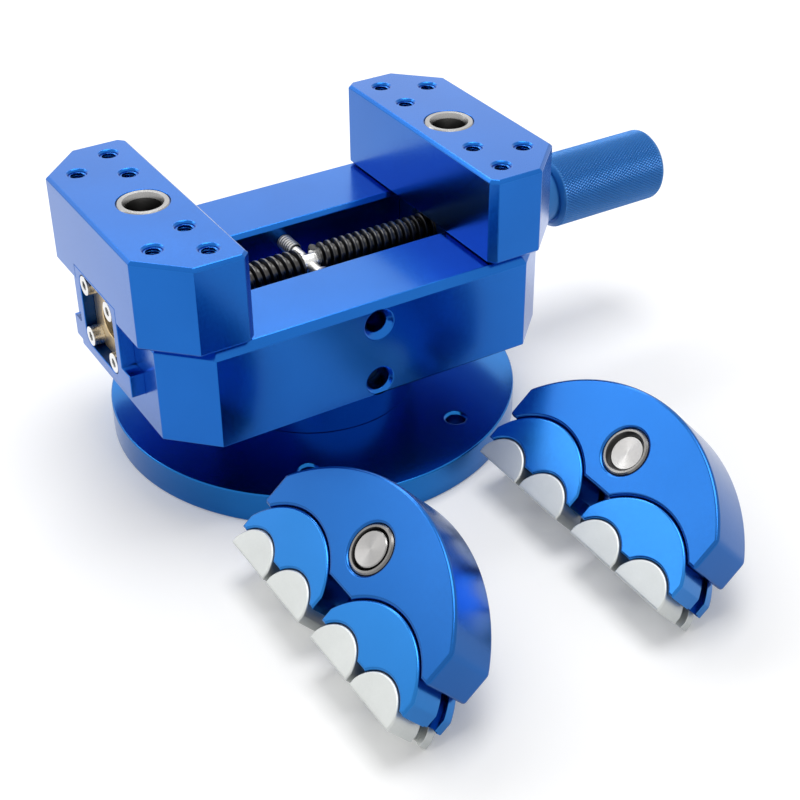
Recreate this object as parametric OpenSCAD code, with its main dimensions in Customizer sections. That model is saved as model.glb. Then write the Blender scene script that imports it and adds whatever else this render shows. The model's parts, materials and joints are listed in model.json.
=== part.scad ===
// Self-centring vise on a swivelling base, with two loose sets of fractal jaws lying beside it.
// The origin is the centre of the base disc's underside. +Z is up and +X runs along the lead screw
// to its handle. Lengths are in millimetres.

/* [Base] */
// Diameter of the base disc
base_d = 150; // [140:1:180]
// Thickness of the base disc
base_t = 12; // [9:0.5:18]
// Chamfer round the base disc's edges
base_chamfer = 0.4; // [0.2:0.1:2]
// Diameter of the bolt holes in the base disc
base_hole_d = 6.6; // [5:0.1:10]
// Diameter of the circle of bolt holes
base_hole_pcd = 120; // [100:1:126]
// Number of bolt holes
base_hole_count = 6; // [3:1:8]
// Chamfer at the mouth of each bolt hole
base_hole_mouth = 0.9; // [0.2:0.1:1.5]
// Diameter of the pivot post
post_d = 76; // [68:1:86]
// Height of the pivot post above the disc
post_h = 19.9; // [17:0.1:30]
// Diameter of the spigot that the bed turns on
spigot_d = 50; // [46:1:56]
// Height of the spigot above the post
spigot_h = 8.9; // [8.5:0.1:9.5]
// Depth of the lock groove round the spigot
lock_groove_depth = 2.5; // [1.5:0.1:3]
// Thread size of the screws that hold the post to the disc
post_screw_d = 6; // [4:1:6]
// Length of those screws under the head
post_screw_l = 16; // [12:1:20]
// Diameter of the circle of those screws
post_screw_pcd = 46; // [34:1:54]
// Number of those screws
post_screw_count = 4; // [3:1:6]

/* [Bed] */
// Length of the bed along the lead screw
bed_l = 150; // [140:1:170]
// Width of the bed across the lead screw
bed_w = 100; // [90:1:120]
// Height of the bed
bed_h = 36; // [34:0.5:44]
// Leg of the bed's upright corner chamfers
bed_corner = 15; // [5:0.5:20]
// Bevel round the bed's top
bed_bevel = 2.5; // [0.5:0.1:4]
// Bevel along the top edges of the bed's slot
slot_bevel = 1.5; // [0.5:0.1:2.5]
// Thickness of the bed under the T slot
bed_floor = 11.8; // [11:0.1:13]
// Thread size of the screw that locks the swivel
lock_screw_d = 8; // [6:1:8]
// Distance of the lock screw's socket end inside the bed's side
lock_sunk = 8; // [4:0.5:12]
// Diameter of the lock screw's dog point
lock_dog_d = 4; // [3:0.1:4.4]
// Length of the lock screw's dog point
lock_dog_l = 2.5; // [2:0.1:3]
// Height of the lock screw's axis above the bed's underside
lock_up = 5.5; // [5:0.1:5.8]
// Leg of the chamfer at the lock screw's hole
lock_mouth = 1.3; // [0.5:0.1:2]

/* [Lead screw] */
// Outer diameter of the thread
screw_d = 12; // [10:0.5:13]
// Pitch of the thread
screw_pitch = 3; // [2:0.5:4]
// Depth of the thread
thread_depth = 1.75; // [0.8:0.05:1.8]
// Depth of the screw's axis below the bed's top
screw_drop = 8; // [7:0.1:9]
// Diameter of the plain neck at the middle of the screw
neck_d = 8; // [7:0.1:8.4]
// Length of the plain neck
neck_l = 6; // [5:0.1:8]
// Diameter at the bottom of the neck's groove
neck_groove_d = 6; // [5:0.1:6.6]
// Distance of the screw's free end inside the nut's face
screw_end_in = 1.5; // [0.5:0.1:4]
// Distance of the thread's end from the handle
thread_short = 2; // [1:0.1:6]
// Diameter of the journal in the handle
journal_d = 8; // [6:0.1:8.5]
// Length of the journal inside the handle
journal_l = 36; // [20:1:45]
// Thread size of the stop screws
stop_screw_d = 6; // [5:0.1:6.5]
// Distance of the stop screws' socket ends below the access holes' bottoms
stop_sunk = 2.5; // [1:0.1:6]
// Diameter of the stop screws' dog points
stop_dog_d = 4; // [3:0.1:4.4]
// Length of the stop screws' dog points
stop_dog_l = 6.5; // [5:0.1:9]
// Diameter of the access holes to the stop screws
stop_access_d = 7.5; // [6.5:0.1:9]
// Depth of the access holes
stop_access_depth = 15; // [10:1:18]
// Leg of the chamfer at the access holes
stop_mouth = 2; // [0.5:0.1:3]

/* [Handle] */
// Diameter of the knurled grip
grip_d = 28; // [22:0.5:36]
// Length of the knurled grip
grip_l = 50; // [40:1:70]
// Chamfer at the grip's ends
grip_chamfer = 1.5; // [0.5:0.1:3]
// Diameter of the handle's neck
handle_neck_d = 22; // [15:0.5:23]
// Length of the handle's neck
handle_neck_l = 11; // [8:0.5:16]
// Distance of the handle from the right jaw's outer face
handle_away = 12; // [11:0.5:20]
// Thread size of the handle's grub screw
grub_d = 4; // [3:1:5]
// Distance of the grub screw's socket end below the neck's surface
grub_sunk = 0.5; // [0.2:0.1:1.5]

/* [Vise jaws] */
// Distance of a jaw's ends inside the bed's sides
jaw_inset = 0; // [0:0.1:4]
// Thickness of a jaw along the lead screw
jaw_t = 35; // [34:0.5:40]
// Height of a jaw
jaw_h = 32; // [28:0.5:40]
// Distance between the jaws
jaw_opening = 90; // [70:1:96]
// Gap between a jaw and the bed's top
jaw_lift = 0.4; // [0.2:0.1:3]
// Leg of a jaw's outer corner chamfers
jaw_corner = 15; // [5:0.5:16]
// Leg of a jaw's inner corner chamfers
jaw_inner_corner = 2.5; // [1:0.1:5]
// Bevel round a jaw's top and bottom
jaw_edge = 1; // [0.3:0.1:1.5]
// Bore of the bushes, in the vise jaws and in the fractal jaws
bush_bore = 12; // [10:0.1:13]
// Wall of the vise jaws' bushes
bush_wall = 3; // [2:0.1:3.5]
// Chamfer at the bushes' mouths
bush_chamfer = 0.6; // [0.2:0.1:1]
// Distance of the bush from the jaw's inner face
bush_in = 14.5; // [13:0.5:16]
// Floor left under the bush
bush_floor = 1; // [0.6:0.1:3]
// Diameter of the tapped holes in a jaw's top
tapped_d = 6; // [4:0.1:6.5]
// Depth of the tapped holes
tapped_depth = 14; // [8:1:18]
// Leg of the chamfer at the tapped holes
tapped_mouth = 0.7; // [0.2:0.05:1]
// Distance of the inner row of holes from the jaw's inner face
row_in = 10; // [8:0.5:12]
// Distance of the outer row of holes from the jaw's inner face
row_out = 25; // [22:0.5:26]
// Distance of the inner row's near holes from the middle
row_near_y = 22.5; // [20:0.5:28]
// Distance of the inner row's far holes from the middle
row_far_y = 40; // [36:0.5:42]
// Distance of the outer row's holes from the middle
row_out_y = 31.25; // [24:0.25:36]

/* [Carriages] */
// Wall of a carriage beside the nut's pocket
carriage_wall = 3.7; // [3:0.1:5]
// Wall of a carriage above the nut's pocket
pocket_roof = 0.9; // [0.5:0.1:2]
// Distance of a carriage's inner face behind the jaw's inner face
carriage_setback = 4; // [3:0.1:5]
// Width of a carriage's T flange on each side
flange_lip = 6.6; // [4:0.1:9]
// Height of a carriage's T flange
flange_h = 8.3; // [7:0.1:10]
// Thickness of the nut's flange
nut_flange_t = 5; // [3:0.1:6]
// Corner radius of the nut's flange
nut_corner = 3.5; // [2:0.1:5]
// Diameter of the nut's hub
nut_hub_d = 18; // [15:0.1:19]
// Length of the nut's hub
nut_hub_l = 20; // [12:0.5:21]
// Thread size of the nut's screws
nut_screw_d = 4; // [3:1:4]
// Length of the nut's screws under the head
nut_screw_l = 12; // [9:1:13]
// Distance between the nut's screws
nut_screw_pitch = 20; // [18:0.1:23]
// Distance of the nut's screws from its flange's edges
nut_edge = 3.5; // [3.5:0.1:4.5]
// Thread size of the screws that hold a jaw to its carriage
carriage_screw_d = 5; // [4:0.5:5]
// Distance of those screws from the carriage's inner face
carriage_screw_in = 6; // [5:0.1:7]
// Distance of those screws from the middle
carriage_screw_y = 13.25; // [13:0.05:13.5]
// Length of those screws inside the jaw
carriage_screw_grip = 12; // [8:0.5:14]

/* [Fractal jaws] */
// Thickness of a fractal jaw
fractal_t = 20; // [18:0.5:26]
// Width of a fractal jaw
fractal_w = 97.5; // [94:0.5:104]
// Radius of a fractal jaw's back
fractal_r = 62.2; // [58:0.1:70]
// Height of the centre of that radius above the jaw's tips, negative when it lies in front of them
fractal_centre = -10.65; // [-14:0.05:-8]
// Height of the body's foot above the tips
fractal_foot = 16.75; // [14:0.05:19]
// Height of the pin above the tips
fractal_pin_up = 31.5; // [30.5:0.1:36]
// Radius of a rocker
rocker_r = 26; // [24.5:0.1:26]
// Distance between the two rockers' centres
rocker_pitch = 52; // [52:0.1:54]
// Height of the rockers' centres above the tips
rocker_centre = -1.2; // [-2.2:0.1:-0.4]
// Width of a rocker
rocker_w = 46.4; // [44:0.1:48]
// Height of a rocker's foot above the tips
rocker_foot = 6; // [4.5:0.1:7]
// Radius of a tip
tip_r = 11.1; // [10:0.05:11.3]
// Distance between the two tips' centres on a rocker
tip_pitch = 23.2; // [22.8:0.1:24]
// Height of the tips' centres above their flats
tip_centre = -0.6; // [-1.2:0.1:0]
// Width of a tip
tip_w = 21.4; // [18:0.1:22]
// Width of the neck of the T ribs
rib_neck_w = 3.4; // [2.5:0.1:4]
// Width of the head of the T ribs
rib_head_w = 6; // [5:0.1:7]
// Height of the lips that hold the ribs' heads
rib_lip = 1.6; // [1:0.1:2]
// Height of the ribs' heads
rib_head_h = 1.5; // [1:0.1:2]
// Distance of the ribs' middle from the back face
rib_from_back = 6; // [5:0.1:8]
// Width of the relief groove where the pin leaves the body
pin_relief_w = 1; // [0.5:0.1:2]
// Depth of that relief groove
pin_relief = 0.3; // [0.2:0.05:0.6]
// Wall of the fractal jaws' bushes
fractal_bush_wall = 2.2; // [1.5:0.1:3.5]
// Chamfer at the pin's outer end
pin_chamfer = 0.8; // [0.3:0.1:1.5]
// Chamfer at the pin's end in the jaw's face
pin_face_chamfer = 0.3; // [0.2:0.1:1]
// Distance of the pin's end above the bottom of a vise jaw's bush
pin_spare = 1.6; // [0.4:0.1:4]
// Place of the front set along the lead screw
front_x = -71.2; // [-76:0.1:-71]
// Place of the front set across the lead screw
front_y = -124; // [-130:0.5:-124]
// Place of the side set along the lead screw
side_x = 23.5; // [23:0.1:40]
// Place of the side set across the lead screw
side_y = -125; // [-130:0.5:-124]
// Depth that the side set's pin lies below its face
side_pin_sunk = 1.5; // [0.3:0.1:3]

/* [Clearances] */
// Gap between the bed and the post
swivel_gap = 0.1; // [0.05:0.05:0.3]
// Gap round the carriages in the bed
slide_gap = 0.1; // [0.05:0.05:0.2]
// Gap round pins, journals and the lead screw
run_gap = 0.05; // [0.02:0.01:0.09]
// Gap beside the stop screws' dog points in the neck's groove
dog_gap = 0.1; // [0.05:0.05:0.3]
// Gap round pieces that are fixed together
seat_gap = 0.05; // [0.02:0.01:0.1]
// Gap round the fractal jaws' rockers and tips
curve_gap = 0.3; // [0.2:0.05:0.4]
// Space ahead of the lock screw's point
lock_space = 1; // [0.5:0.1:1.2]

/* [Hidden] */
$fn = 96;
// Overshoot of cuts past the faces that they leave
cut = 1;

// Heights of the stack
bed_z = base_t + post_h + swivel_gap;
bed_top = bed_z + bed_h;
screw_z = bed_top - screw_drop;
jaw_z = bed_top + jaw_lift;
jaw_top = jaw_z + jaw_h;
flange_z = bed_z + bed_floor + slide_gap;
flange_top = flange_z + flange_h;
lock_z = bed_z + lock_up;

// Sizes that follow from the nut
nut_w = nut_screw_pitch + 2 * nut_edge;
pocket_w = nut_w + 2 * curve_gap;
carriage_w = pocket_w + 2 * carriage_wall;
carriage_top = screw_z + pocket_w / 2 + pocket_roof;
carriage_let_in = carriage_top - jaw_z;
flange_w = carriage_w + 2 * flange_lip;

// Ends of the stop screws and of the lock screw, from the middle of the bed
stop_tip = neck_groove_d / 2 + run_gap;
stop_end = bed_w / 2 - stop_access_depth - stop_sunk;
lock_tip = spigot_d / 2 - lock_groove_depth + lock_space;
lock_end = bed_w / 2 - lock_sunk;

// The jaws' length across the vise
jaw_l = bed_w - 2 * jaw_inset;

// Places along the lead screw
jaw_in = jaw_opening / 2;
jaw_out = jaw_in + jaw_t;
carriage_in = jaw_in + carriage_setback;
carriage_l = jaw_out - carriage_in;
nut_head = nut_screw_d;
nut_face = jaw_out - nut_head;
pocket_depth = nut_head + nut_flange_t;
handle_x = jaw_out + handle_away;
grip_x = handle_x + handle_neck_l;
thread_end = handle_x - thread_short;
screw_left = screw_end_in - nut_face;

// Bushes and pins
bush_d = bush_bore + 2 * bush_wall;
fractal_bush_d = bush_bore + 2 * fractal_bush_wall;
bush_l = jaw_h - carriage_let_in - bush_floor;
bush_x = jaw_in + bush_in;
pin_r = bush_bore / 2 - run_gap;
pin_out = bush_l - pin_spare;

// A fractal jaw lies on its tips' back edges and its pin's end, which gives its tilt
fractal_tilt = atan(pin_out / (fractal_pin_up - pin_r + pin_chamfer));
rib_n = rib_from_back - fractal_t;

// Shares of the pitch taken by a thread's flat crest and by one flank
crest_share = 0.37;
flank_share = 0.16;

blue = "royalblue";
deep_blue = "mediumblue";
steel = "silver";
black = "dimgray";

// Sizes of a socket head cap screw and of its socket, from its thread size
function head_d(d) = 1.5 * d + 1;
function hex_d(d) = (d - 1) / cos(30);

// Size of a set screw's socket, from its thread size
function set_hex_d(d) = d / 2 / cos(30);

// Outline of a block with two inner and two outer corner chamfers, drawn in by e all round
function block_outline(l, t, inner, outer, e) =
    let (
        k = e * (2 - sqrt(2)),
        a = inner - k,
        b = outer - k,
        y = l / 2 - e
    )
    [
        [e, a - y], [e + a, -y], [t - e - b, -y], [t - e, b - y],
        [t - e, y - b], [t - e - b, y], [e + a, y], [e, y - a]
    ];

// Half outline of a T shape for turning: lip side at r0, shoulder at r1, bottom at r2
function tee(r0, r1, r2, neck, head) = [
    [r2, -head / 2], [r1, -head / 2], [r1, -neck / 2], [r0, -neck / 2],
    [r0, neck / 2], [r1, neck / 2], [r1, head / 2], [r2, head / 2]
];

// Points of a thread drawn as rings of the same pitch, from one end to the other
function thread_points(from, to) =
    let (
        turns = floor((to - from) / screw_pitch),
        lead_in = ((to - from) - turns * screw_pitch) / 2,
        root = screw_d / 2 - thread_depth,
        land = (1 - crest_share - 2 * flank_share) / 2
    )
    [
        for (i = [0 : turns - 1], p = [
            [root, land], [screw_d / 2, land + flank_share],
            [screw_d / 2, land + flank_share + crest_share], [root, 1 - land]
        ]) [p.x, from + lead_in + (i + p.y) * screw_pitch]
    ];

module along_screw(x) {
    translate([x, 0, screw_z]) rotate([0, 90, 0]) children();
}

module left_side() {
    mirror([1, 0, 0]) children();
}

module ring_of(count, d) {
    for (i = [0 : count - 1]) rotate([0, 0, i * 360 / count]) translate([d / 2, 0, 0]) children();
}

// A hole along -Z from z = 0 with a chamfered mouth
module hole(d, depth, mouth) {
    translate([0, 0, -depth]) cylinder(d = d, h = depth + cut);
    translate([0, 0, -mouth]) cylinder(d1 = d, d2 = d + 2 * (mouth + cut), h = mouth + cut);
}

// A socket head cap screw along -Z, with the head standing on z = 0
module cap_screw(d, l) {
    difference() {
        union() {
            cylinder(d = head_d(d), h = d);
            translate([0, 0, -l]) cylinder(d = d, h = l + d / 2);
        }
        translate([0, 0, d / 2]) cylinder(d = hex_d(d), h = d, $fn = 6);
    }
}

// A set screw along +Z, from the end of its dog point to its socket
module set_screw(d, l, dog_d, dog_l) {
    difference() {
        union() {
            cylinder(d = dog_d, h = dog_l + cut);
            translate([0, 0, dog_l]) cylinder(d = d, h = l - dog_l);
        }
        translate([0, 0, l - d / 2]) cylinder(d = set_hex_d(d), h = d, $fn = 6);
    }
}

// A square bar with round corners along +Z
module round_square(w, h, r) {
    translate([r - w / 2, -w / 2, 0]) cube([w - 2 * r, w, h]);
    translate([-w / 2, r - w / 2, 0]) cube([w, w - 2 * r, h]);
    for (x = [-1, 1], y = [-1, 1])
        translate([x * (w / 2 - r), y * (w / 2 - r), 0]) cylinder(r = r, h = h);
}

module base_plate() {
    color(deep_blue) difference() {
        rotate_extrude() polygon([
            [0, 0], [base_d / 2 - base_chamfer, 0], [base_d / 2, base_chamfer],
            [base_d / 2, base_t - base_chamfer], [base_d / 2 - base_chamfer, base_t], [0, base_t]
        ]);
        ring_of(base_hole_count, base_hole_pcd)
            translate([0, 0, base_t]) hole(base_hole_d, base_t + cut, base_hole_mouth);
        ring_of(post_screw_count, post_screw_pcd) {
            translate([0, 0, -cut]) cylinder(d = post_screw_d + 2 * seat_gap, h = base_t + 2 * cut);
            translate([0, 0, -cut])
                cylinder(d = head_d(post_screw_d) + 2 * curve_gap, h = cut + post_screw_d + curve_gap);
        }
    }
}

// Length of a post screw that lies in the disc
function post_screw_in_disc() = base_t - post_screw_d - curve_gap;

module pivot_post() {
    top = base_t + post_h;
    screw_depth = post_screw_l - post_screw_in_disc();
    groove = lock_dog_d / 2 + curve_gap;
    spigot_r = spigot_d / 2;
    color(deep_blue) difference() {
        rotate_extrude() polygon([
            [0, base_t], [post_d / 2, base_t], [post_d / 2, top], [spigot_r, top],
            [spigot_r, lock_z - groove], [spigot_r - lock_groove_depth, lock_z - groove],
            [spigot_r - lock_groove_depth, lock_z + groove], [spigot_r, lock_z + groove],
            [spigot_r, top + spigot_h], [0, top + spigot_h]
        ]);
        ring_of(post_screw_count, post_screw_pcd) translate([0, 0, base_t - cut])
            cylinder(d = post_screw_d + 2 * seat_gap, h = screw_depth + 2 * cut);
    }
}

module post_screws() {
    color(steel) ring_of(post_screw_count, post_screw_pcd)
        translate([0, 0, post_screw_d + curve_gap]) mirror([0, 0, 1]) cap_screw(post_screw_d, post_screw_l);
}

module bed_block() {
    translate([-bed_l / 2, 0, bed_z]) hull() {
        linear_extrude(bed_h - bed_bevel) polygon(block_outline(bed_w, bed_l, bed_corner, bed_corner, 0));
        linear_extrude(bed_h) polygon(block_outline(bed_w, bed_l, bed_corner, bed_corner, bed_bevel));
    }
}

// A slot right through the bed along X
module bed_slot(w, low, high) {
    translate([-bed_l / 2 - cut, -w / 2, low]) cube([bed_l + 2 * cut, w, high - low]);
}

// The bevels along the slot's top edges, as one trough
module slot_bevels() {
    half = carriage_w / 2 + slide_gap;
    wide = half + slot_bevel + cut;
    translate([-bed_l / 2 - cut, 0, bed_top]) rotate([90, 0, 90]) linear_extrude(bed_l + 2 * cut)
        polygon([[-half, -slot_bevel], [half, -slot_bevel], [wide, cut], [-wide, cut]]);
}

module bed() {
    color(blue) difference() {
        bed_block();
        slot_bevels();
        bed_slot(carriage_w + 2 * slide_gap, flange_z - slide_gap, bed_top + cut);
        bed_slot(flange_w + 2 * slide_gap, flange_z - slide_gap, flange_top + slide_gap);
        translate([0, 0, bed_z - cut])
            cylinder(d = spigot_d + 2 * run_gap, h = spigot_h + swivel_gap + cut);
        for (turn = [0, 180]) rotate([0, 0, turn])
            translate([0, -bed_w / 2, screw_z]) rotate([90, 0, 0]) {
                hole(stop_access_d, stop_access_depth, stop_mouth);
                translate([0, 0, -bed_w / 2]) cylinder(d = stop_screw_d + 2 * seat_gap, h = bed_w / 2);
            }
        translate([0, -bed_w / 2, lock_z]) rotate([90, 0, 0])
            hole(lock_screw_d + 2 * seat_gap, (bed_w - spigot_d) / 2 + cut, lock_mouth);
    }
}

// A stop screw on the near side of the lead screw's neck
module near_stop_screw() {
    translate([0, -stop_tip, screw_z]) rotate([90, 0, 0])
        set_screw(stop_screw_d, stop_end - stop_tip, stop_dog_d, stop_dog_l);
}

module front_stop_screw() {
    color(steel) near_stop_screw();
}

module back_stop_screw() {
    color(steel) rotate([0, 0, 180]) near_stop_screw();
}

module swivel_lock_screw() {
    color(black) translate([0, -lock_tip, lock_z]) rotate([90, 0, 0])
        set_screw(lock_screw_d, lock_end - lock_tip, lock_dog_d, lock_dog_l);
}

module lead_screw() {
    root = screw_d / 2 - thread_depth;
    groove = stop_dog_d / 2 + dog_gap;
    groove_r = neck_groove_d / 2;
    neck_r = neck_d / 2;
    half = neck_l / 2;
    color(black) along_screw(0) rotate_extrude() polygon(concat(
        [[0, screw_left], [root, screw_left]],
        thread_points(screw_left, -half),
        [
            [root, -half], [neck_r, -half], [neck_r, -groove], [groove_r, -groove],
            [groove_r, groove], [neck_r, groove], [neck_r, half], [root, half]
        ],
        thread_points(half, thread_end),
        [
            [root, thread_end], [journal_d / 2, thread_end],
            [journal_d / 2, handle_x + journal_l], [0, handle_x + journal_l]
        ]
    ));
}

module handle() {
    neck_r = handle_neck_d / 2;
    grip_r = grip_d / 2;
    end = grip_x + grip_l;
    bore_end = handle_x + journal_l + run_gap;
    color(blue) difference() {
        along_screw(0) rotate_extrude() polygon([
            [journal_d / 2 + run_gap, handle_x], [neck_r, handle_x],
            [neck_r, grip_x], [grip_r - grip_chamfer, grip_x], [grip_r, grip_x + grip_chamfer],
            [grip_r, end - grip_chamfer], [grip_r - grip_chamfer, end], [0, end],
            [0, bore_end], [journal_d / 2 + run_gap, bore_end]
        ]);
        along_screw(grip_x - handle_neck_l / 2) rotate([-90, 0, 0])
            cylinder(d = grub_d + 2 * seat_gap, h = handle_neck_d);
    }
}

// The grub screw's point is half as wide and a quarter as long as its thread is wide
module handle_grub_screw() {
    start = journal_d / 2 + run_gap;
    end = handle_neck_d / 2 - grub_sunk;
    color(black) along_screw(grip_x - handle_neck_l / 2) rotate([-90, 0, 0]) translate([0, 0, start])
        set_screw(grub_d, end - start, grub_d / 2, grub_d / 4);
}

module at_carriage_screws(z) {
    for (side = [-1, 1])
        translate([carriage_in + carriage_screw_in, side * carriage_screw_y, z]) children();
}

module jaw_block() {
    hull() {
        translate([0, 0, jaw_edge]) linear_extrude(jaw_h - 2 * jaw_edge)
            polygon(block_outline(jaw_l, jaw_t, jaw_inner_corner, jaw_corner, 0));
        linear_extrude(jaw_h) polygon(block_outline(jaw_l, jaw_t, jaw_inner_corner, jaw_corner, jaw_edge));
    }
}

module jaw() {
    places = [[row_in, row_near_y], [row_in, row_far_y], [row_out, row_out_y]];
    color(blue) difference() {
        translate([jaw_in, 0, jaw_z]) jaw_block();
        translate([carriage_in - seat_gap, -carriage_w / 2 - seat_gap, jaw_z - cut])
            cube([carriage_l + cut, carriage_w + 2 * seat_gap, carriage_let_in + seat_gap + cut]);
        translate([bush_x, 0, jaw_top - bush_l]) cylinder(d = bush_d + 2 * seat_gap, h = bush_l + cut);
        for (p = places, side = [-1, 1])
            translate([jaw_in + p.x, side * p.y, jaw_top]) hole(tapped_d, tapped_depth, tapped_mouth);
        at_carriage_screws(carriage_top)
            cylinder(d = carriage_screw_d + 2 * seat_gap, h = carriage_screw_grip + cut);
    }
}

module carriage() {
    color(blue) difference() {
        union() {
            translate([carriage_in, -carriage_w / 2, flange_z])
                cube([carriage_l, carriage_w, carriage_top - flange_z]);
            translate([carriage_in, -flange_w / 2, flange_z]) cube([carriage_l, flange_w, flange_h]);
        }
        along_screw(jaw_out - pocket_depth)
            round_square(pocket_w, pocket_depth + cut, nut_corner + curve_gap);
        along_screw(carriage_in - cut) cylinder(d = nut_hub_d + 2 * seat_gap, h = carriage_l);
        for (y = [-1, 1], z = [-1, 1]) translate([0, y, z] * nut_screw_pitch / 2)
            along_screw(nut_face - nut_screw_l - cut)
                cylinder(d = nut_screw_d + 2 * seat_gap, h = nut_screw_l + cut);
        at_carriage_screws(flange_z - cut) {
            cylinder(d = carriage_screw_d + 2 * seat_gap, h = carriage_top - flange_z + 2 * cut);
            cylinder(d = head_d(carriage_screw_d) + 2 * seat_gap, h = cut + carriage_screw_d + curve_gap);
        }
    }
}

module nut() {
    color("darkgoldenrod") difference() {
        union() {
            along_screw(nut_face - nut_flange_t) round_square(nut_w, nut_flange_t, nut_corner);
            along_screw(nut_face - nut_flange_t - nut_hub_l) cylinder(d = nut_hub_d, h = nut_hub_l + cut);
        }
        along_screw(nut_face - nut_flange_t - nut_hub_l - cut)
            cylinder(d = screw_d + 2 * run_gap, h = nut_flange_t + nut_hub_l + 2 * cut);
        for (y = [-1, 1], z = [-1, 1]) translate([0, y, z] * nut_screw_pitch / 2)
            along_screw(nut_face - nut_flange_t - cut)
                cylinder(d = nut_screw_d + 2 * seat_gap, h = nut_flange_t + 2 * cut);
    }
}

module nut_screws() {
    color(steel) for (y = [-1, 1], z = [-1, 1]) translate([0, y, z] * nut_screw_pitch / 2)
        along_screw(nut_face) cap_screw(nut_screw_d, nut_screw_l);
}

module bush(d, l) {
    bore_r = bush_bore / 2;
    rotate_extrude() polygon([
        [bore_r, 0], [d / 2, 0], [d / 2, l], [bore_r + bush_chamfer, l], [bore_r, l - bush_chamfer]
    ]);
}

module jaw_bush() {
    color(steel) translate([bush_x, 0, jaw_top - bush_l]) bush(bush_d, bush_l);
}

module carriage_screws() {
    seat = flange_z + carriage_screw_d + curve_gap;
    color(steel) at_carriage_screws(seat) mirror([0, 0, 1])
        cap_screw(carriage_screw_d, carriage_top + carriage_screw_grip - seat);
}

// A fractal jaw is drawn with X along its row of tips, Y up from the tips' flats and its face on z = 0.
// Laid down, its X points to -Y and its face leans towards -X.
module lay(x, y) {
    translate([x, y, fractal_t * cos(fractal_tilt)])
        rotate([0, 0, -90]) rotate([fractal_tilt, 0, 0]) children();
}

module at_rocker(side) {
    translate([side * rocker_pitch / 2, rocker_centre, 0]) children();
}

module at_tip(side, place) {
    translate([side * rocker_pitch / 2 + place * tip_pitch / 2, tip_centre, 0]) children();
}

// A slab as thick as the fractal jaw, from its back to its face
module slab(w, low, high) {
    translate([-w / 2, low, -fractal_t]) cube([w, high - low, fractal_t]);
}

// The round bay for a piece of radius r, less the T rib that stays standing in it
module bay(r) {
    shoulder = r - rib_lip - curve_gap;
    difference() {
        translate([0, 0, -fractal_t - cut]) cylinder(r = r + curve_gap, h = fractal_t + 2 * cut);
        translate([0, 0, rib_n]) rotate_extrude()
            polygon(tee(r + curve_gap + cut, shoulder, shoulder - rib_head_h, rib_neck_w, rib_head_w));
    }
}

// The T groove round a piece of radius r
module groove(r) {
    shoulder = r - rib_lip;
    floor_r = shoulder - rib_head_h - 2 * curve_gap;
    translate([0, 0, rib_n]) rotate_extrude()
        polygon(tee(r + cut, shoulder, floor_r, rib_neck_w + 2 * curve_gap, rib_head_w + 2 * curve_gap));
}

module fractal_body() {
    color(blue) difference() {
        intersection() {
            translate([0, fractal_centre, -fractal_t]) cylinder(r = fractal_r, h = fractal_t);
            slab(fractal_w, fractal_foot, fractal_r);
        }
        for (side = [-1, 1]) at_rocker(side) bay(rocker_r);
        translate([0, fractal_pin_up, -fractal_t - cut])
            cylinder(d = fractal_bush_d + 2 * seat_gap, h = fractal_t + 2 * cut);
    }
}

module fractal_bush() {
    color(steel) translate([0, fractal_pin_up, -fractal_t]) bush(fractal_bush_d, fractal_t);
}

module fractal_pin(sunk) {
    low = -fractal_t - pin_out;
    relief = -fractal_t - pin_relief_w;
    color(steel) translate([0, fractal_pin_up, 0]) rotate_extrude() polygon([
        [0, low], [pin_r - pin_chamfer, low], [pin_r, low + pin_chamfer],
        [pin_r, relief], [pin_r - pin_relief, relief], [pin_r - pin_relief, -fractal_t], [pin_r, -fractal_t],
        [pin_r, -sunk - pin_face_chamfer], [pin_r - pin_face_chamfer, -sunk], [0, -sunk]
    ]);
}

module rocker() {
    color(blue) difference() {
        intersection() {
            translate([0, 0, -fractal_t]) cylinder(r = rocker_r, h = fractal_t);
            slab(rocker_w, rocker_foot - rocker_centre, rocker_r + cut);
        }
        groove(rocker_r);
        for (place = [-1, 1]) translate([place * tip_pitch / 2, tip_centre - rocker_centre, 0]) bay(tip_r);
    }
}

module tip() {
    color("gainsboro") difference() {
        intersection() {
            translate([0, 0, -fractal_t]) cylinder(r = tip_r, h = fractal_t);
            slab(tip_w, -tip_centre, tip_r + cut);
        }
        groove(tip_r);
    }
}

base_plate();
pivot_post();
post_screws();
bed();
front_stop_screw();
back_stop_screw();
swivel_lock_screw();
lead_screw();
handle();
handle_grub_screw();

left_side() jaw();  // left_jaw
left_side() carriage();  // left_carriage
left_side() nut();  // left_nut
left_side() nut_screws();  // left_nut_screws
left_side() jaw_bush();  // left_bush
left_side() carriage_screws();  // left_carriage_screws

jaw();  // right_jaw
carriage();  // right_carriage
nut();  // right_nut
nut_screws();  // right_nut_screws
jaw_bush();  // right_bush
carriage_screws();  // right_carriage_screws

lay(front_x, front_y) fractal_body();  // front_body
lay(front_x, front_y) fractal_bush();  // front_bush
lay(front_x, front_y) fractal_pin(0);  // front_pin
lay(front_x, front_y) at_rocker(1) rocker();  // front_rocker_near
lay(front_x, front_y) at_rocker(-1) rocker();  // front_rocker_far
lay(front_x, front_y) at_tip(1, 1) tip();  // front_tip_near_outer
lay(front_x, front_y) at_tip(1, -1) tip();  // front_tip_near_inner
lay(front_x, front_y) at_tip(-1, 1) tip();  // front_tip_far_inner
lay(front_x, front_y) at_tip(-1, -1) tip();  // front_tip_far_outer

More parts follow.
